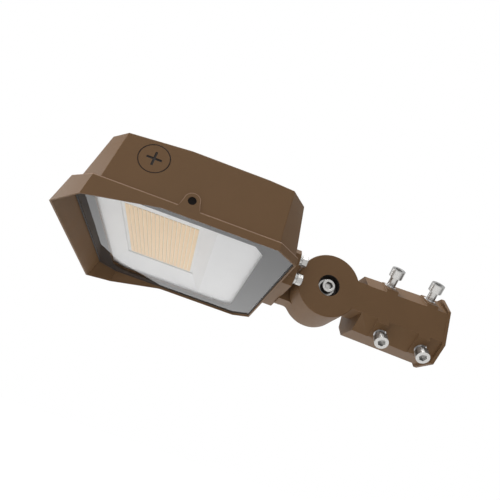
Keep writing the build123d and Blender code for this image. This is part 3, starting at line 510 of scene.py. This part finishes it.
def in_counterbore(centre, normal):
    """The deep part of the knuckle's counterbore, which takes painted shade."""
    return math.hypot(centre.y - bolt_middle.y, centre.z - bolt_middle.z) < COUNTERBORE


def on_frame_round(centre, normal):
    """The round along the frame's top edge, which takes a painted highlight."""
    return centre.z > frame_top - FRAME_ROUND and UPRIGHT < normal.z < LEVEL


def in_cross(centre, normal):
    """The walls and floor of the plug's cross slot, and the plug's rim, which take painted shade."""
    depth = (centre - plug_face).dot(SIDE_NORMAL)
    return abs(normal.dot(SIDE_NORMAL)) < SIDEWAYS or depth < -CROSS_FLOOR


def on_bolt_head_wall(centre, normal):
    """The wall of the pivot bolt's head, which takes painted shade for its reflection of the dark
    counterbore.
    """
    return abs(normal.x) < SIDEWAYS and centre.x > 0


dressed(
    "rear_housing", "housing_casting", "head", BRONZE, 0.5 * MM,
    edge=BRONZE_EDGE_HIGHLIGHT, shade=in_plug_gap)
dressed(
    "front_frame", "frame_casting", "head", tab_highlight_coat(BRONZE), 0.55 * MM,
    edge=BRONZE_EDGE_HIGHLIGHT, highlit=on_frame_round)
dressed(
    "slip_fitter", "slip_fitter_casting", "fitter", BRONZE, 0.7 * MM,
    edge=BRONZE_EDGE_HIGHLIGHT, shade=in_counterbore)
dressed("knuckle_arm", "arm_casting", "head", BRONZE, 0.7 * MM, edge=BRONZE_EDGE_HIGHLIGHT)
dressed(
    "photocell_plug", "side_plug", "head", plug_coat(BRONZE), 0.3 * MM,
    edge=SHADE, shade=in_cross, segments=2)


# Fasteners

for node, name, body, width, shade in (
    ("clamp_screws", "socket_head_screws", "fitter", 0.45 * MM, None),
    ("pivot_bolt", "knuckle_bolt", "fitter", 0.6 * MM, on_bolt_head_wall),
    ("pivot_nut", "knuckle_nut", "fitter", 0.4 * MM, None),
    ("flange_bolts", "hex_bolts", "head", 0.4 * MM, None),
):
    dressed(node, name, body, STEEL, width, shade=shade, segments=2)


# Nodes that stay as the CAD has them

for node, material in (
    ("pivot_washers", STEEL), ("knuckle_seal", RUBBER), ("flange_gasket", RUBBER),
    ("flange_washers", STEEL), ("flange_lock_washers", STEEL), ("wire_grommet", RUBBER),
    ("housing_gasket", RUBBER), ("frame_screws", BLACK_STEEL), ("glass_lens", GLASS),
    ("lens_gasket", RUBBER), ("led_board", BOARD),
    ("led_strips", PHOSPHOR), ("led_board_screws", STEEL), ("reflector_tray", REFLECTOR),
    ("reflector_screws", STEEL), ("driver_bracket", SHEET), ("led_driver", SHEET), ("driver_screws", STEEL),
    ("terminal_block", PALE_PLASTIC), ("led_lead_positive", LEAD_RED), ("led_lead_negative", LEAD_BLACK),
    ("plug_seal", RUBBER),
):
    paint(node, material)


# Bare metal round the mouths of the clamp screws' holes, where the coat was cut away

RIM_INNER = 5.25 * MM
RIM_OUTER = 7.2 * MM
RIM_STAND = 0.15 * MM
RIM_ROOT = 0.4 * MM
RIM_STEPS = 48
RAY_START = 70.0 * MM
SOCKET_AXIS = Vector((0, 1, 0))


def solid_centres(mesh):
    """Centres of the separate solids of a mesh."""
    bm = bmesh.new()
    bm.from_mesh(mesh)
    bmesh.ops.remove_doubles(bm, verts=bm.verts, dist=WELD)
    left = set(bm.verts)
    centres = []
    while left:
        reached = [left.pop()]
        for vert in reached:
            for line in vert.link_edges:
                other = line.other_vert(vert)
                if other in left:
                    left.remove(other)
                    reached.append(other)
        low = Vector([min(v.co[i] for v in reached) for i in range(3)])
        high = Vector([max(v.co[i] for v in reached) for i in range(3)])
        centres.append((low + high) / 2)
    bm.free()
    return sorted(centres, key=lambda c: tuple(round(value, 5) for value in c))


def bare_rims():
    """Rings of bare metal that lie on the slip fitter round each clamp screw."""
    casting = nodes["slip_fitter"].data
    surface = BVHTree.FromPolygons([v.co for v in casting.vertices], [p.vertices for p in casting.polygons])
    bm = bmesh.new()
    for centre in solid_centres(nodes["clamp_screws"].data):
        out = Vector((centre.x, 0, centre.z)).normalized()
        side = out.cross(SOCKET_AXIS)
        foot = Vector((0, centre.y, 0))
        inner_root, inner_top, outer_top, outer_root = [], [], [], []
        for step in range(RIM_STEPS):
            turn = math.tau * step / RIM_STEPS
            spoke = side * math.cos(turn) + SOCKET_AXIS * math.sin(turn)
            inner = (RIM_INNER, inner_top, inner_root)
            outer = (RIM_OUTER, outer_top, outer_root)
            for radius, top, root in (inner, outer):
                hit = surface.ray_cast(foot + spoke * radius + out * RAY_START, -out)[0]
                top.append(bm.verts.new(hit + out * RIM_STAND))
                root.append(bm.verts.new(hit - out * RIM_ROOT))
        join_rings(bm, [inner_root, inner_top, outer_top, outer_root])
    obj = mesh_object("bare_metal_rims", bm, SHEET)
    smooth_by_angle(obj.data)
    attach(obj, "fitter")


bare_rims()


# Printed border of the glass. This glass doesn't bend light, so the border lies near the outer face, where
# the bending makes it appear in the photograph

WINDOW_HALF = 131.4 * MM
WINDOW_REAR = 32.0 * MM
WINDOW_FRONT = 202.0 * MM
WINDOW_CORNER_X = 15.4 * MM
WINDOW_CORNER_REAR = 10.4 * MM
WINDOW_CORNER_FRONT = 15.0 * MM
HEAD_REAR = -205.1 * MM
BORDER_DEPTH = 0.6 * MM
BORDER_THICKNESS = 0.08 * MM
BORDER_INSET = 0.1 * MM
FACE_LEVEL = 0.01 * MM


def window_outline():
    """Corners of the clear window in the printed border."""
    right = [
        (WINDOW_HALF - WINDOW_CORNER_X, HEAD_REAR - WINDOW_REAR),
        (WINDOW_HALF, HEAD_REAR - WINDOW_REAR - WINDOW_CORNER_REAR),
        (WINDOW_HALF, HEAD_REAR - WINDOW_FRONT + WINDOW_CORNER_FRONT),
        (WINDOW_HALF - WINDOW_CORNER_X, HEAD_REAR - WINDOW_FRONT),
    ]
    return right + [(-x, y) for x, y in reversed(right)]


def glass_outline(inset):
    """Corners of the glass, moved inwards, in the same order as the window's."""
    vertices = nodes["glass_lens"].data.vertices
    low = min(v.co.z for v in vertices)
    corners = {(round(v.co.x, 6), round(v.co.y, 6)) for v in vertices if v.co.z < low + FACE_LEVEL}
    right = sorted((c for c in corners if c[0] > 0), key=lambda c: -c[1])
    points = right + [(-x, y) for x, y in reversed(right)]
    middle = sum(y for x, y in points) / len(points)
    return [(x - math.copysign(inset, x), y - math.copysign(inset, y - middle)) for x, y in points]


def printed_border():
    """Thin opaque ring in the glass, near its outer face."""
    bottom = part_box("glass_lens")[0].z + BORDER_DEPTH
    top = bottom + BORDER_THICKNESS
    bm = bmesh.new()
    rings = []
    for outline, z in (
        (glass_outline(BORDER_INSET), top), (window_outline(), top),
        (window_outline(), bottom), (glass_outline(BORDER_INSET), bottom),
    ):
        rings.append([bm.verts.new((x, y, z)) for x, y in outline])
    join_rings(bm, rings)
    obj = mesh_object("glass_printed_border", bm, BORDER)
    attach(obj, "head")


printed_border()


# Floor and world: white where the camera sees them, and weaker as a source of light

FLOOR_HALF = 6.0
FLOOR_DROP = 0.5
FLOOR_GREY = (0.5, 0.5, 0.5, 1)
FLOOR_ROUGHNESS = 0.8
FLOOR_LIFT = 0.9
SKY_STRENGTH = 0.24
BACKDROP_STRENGTH = 1.0


def watched_rays(tree):
    """One for rays that come from the camera, off a mirror or through glass, and zero for all others."""
    rays = tree.nodes.new("ShaderNodeLightPath")
    seen = math_node(tree, "MAXIMUM", rays.outputs["Is Camera Ray"], rays.outputs["Is Glossy Ray"])
    return math_node(tree, "MAXIMUM", seen, rays.outputs["Is Transmission Ray"])


def floor_material():
    """A pale surface that shows as white to the camera and in mirrors, and still takes shadows."""
    material, tree, shader, out = new_material("pale_floor")
    shader.inputs["Base Color"].default_value = FLOOR_GREY
    shader.inputs["Roughness"].default_value = FLOOR_ROUGHNESS
    shader.inputs["Emission Color"].default_value = WHITE
    lift = math_node(tree, "MULTIPLY", watched_rays(tree), FLOOR_LIFT)
    tree.links.new(lift, shader.inputs["Emission Strength"])
    return material


def background(tree, strength):
    """A white background of a strength."""
    node = tree.nodes.new("ShaderNodeBackground")
    node.inputs["Color"].default_value = WHITE
    node.inputs["Strength"].default_value = strength
    return node.outputs["Background"]


floor_z = cad_box[0].z - FLOOR_DROP
floor_corners = [
    (-FLOOR_HALF, -FLOOR_HALF, floor_z), (FLOOR_HALF, -FLOOR_HALF, floor_z),
    (FLOOR_HALF, FLOOR_HALF, floor_z), (-FLOOR_HALF, FLOOR_HALF, floor_z),
]
floor_mesh = bpy.data.meshes.new("floor")
floor_mesh.from_pydata(floor_corners, [], [(0, 1, 2, 3)])
floor = link(bpy.data.objects.new("floor", floor_mesh))
floor_mesh.materials.append(floor_material())

world = bpy.data.worlds.new("studio")
bpy.context.scene.world = world
world.use_nodes = True
world_tree = world.node_tree
world_tree.nodes.clear()
world_out = world_tree.nodes.new("ShaderNodeOutputWorld")
pick = world_tree.nodes.new("ShaderNodeMixShader")
world_tree.links.new(watched_rays(world_tree), pick.inputs["Fac"])
world_tree.links.new(background(world_tree, SKY_STRENGTH), pick.inputs[1])
world_tree.links.new(background(world_tree, BACKDROP_STRENGTH), pick.inputs[2])
world_tree.links.new(pick.outputs["Shader"], world_out.inputs["Surface"])


# Lamps

HEAD_MIDDLE = Vector((0, -0.31, 0))


def area_light(name, place, size, watts):
    """A soft box that faces the middle of the lamp head."""
    data = bpy.data.lights.new(name, "AREA")
    data.shape = "RECTANGLE"
    data.size, data.size_y = size
    data.energy = watts
    lamp = link(bpy.data.objects.new(name, data))
    lamp.location = place
    lamp.rotation_mode = "QUATERNION"
    lamp.rotation_quaternion = (HEAD_MIDDLE - Vector(place)).to_track_quat("-Z", "Y")
    lamp.visible_camera = False
    return lamp


area_light("front_soft_box", place=(-0.2, -2.1, 0.25), size=(1.4, 1.2), watts=25.6)
area_light("side_soft_box", place=(2.0, -0.6, 0.2), size=(1.2, 1.2), watts=13.0)
area_light("top_soft_box", place=(0.1, -0.4, 1.9), size=(1.2, 1.2), watts=30.0)
low_soft_box = area_light("low_soft_box", place=(-0.2, -0.25, -0.5), size=(0.3, 0.3), watts=0.95)
low_soft_box.visible_glossy = False


# Camera at the photograph's place, from a fit to the object's corners in it

CAMERA_PLACE = Vector((564.97, -279.99, -190.71)) * MM
CAMERA_RIGHT = Vector((0.17573, 0.93696, 0.30204))
CAMERA_UP = Vector((0.31133, -0.34396, 0.88587))

camera_data = bpy.data.cameras.new("camera")
camera_data.sensor_width = 36.0
camera_data.lens = 36.0
camera_data.clip_start = 0.01
camera = link(bpy.data.objects.new("camera", camera_data))
right = CAMERA_RIGHT.normalized()
up = (CAMERA_UP - right * CAMERA_UP.dot(right)).normalized()
turn = Matrix((right, up, right.cross(up))).transposed()
camera.matrix_world = Matrix.Translation(CAMERA_PLACE) @ turn.to_4x4()
bpy.context.scene.camera = camera
bpy.context.scene.view_settings.view_transform = "Standard"
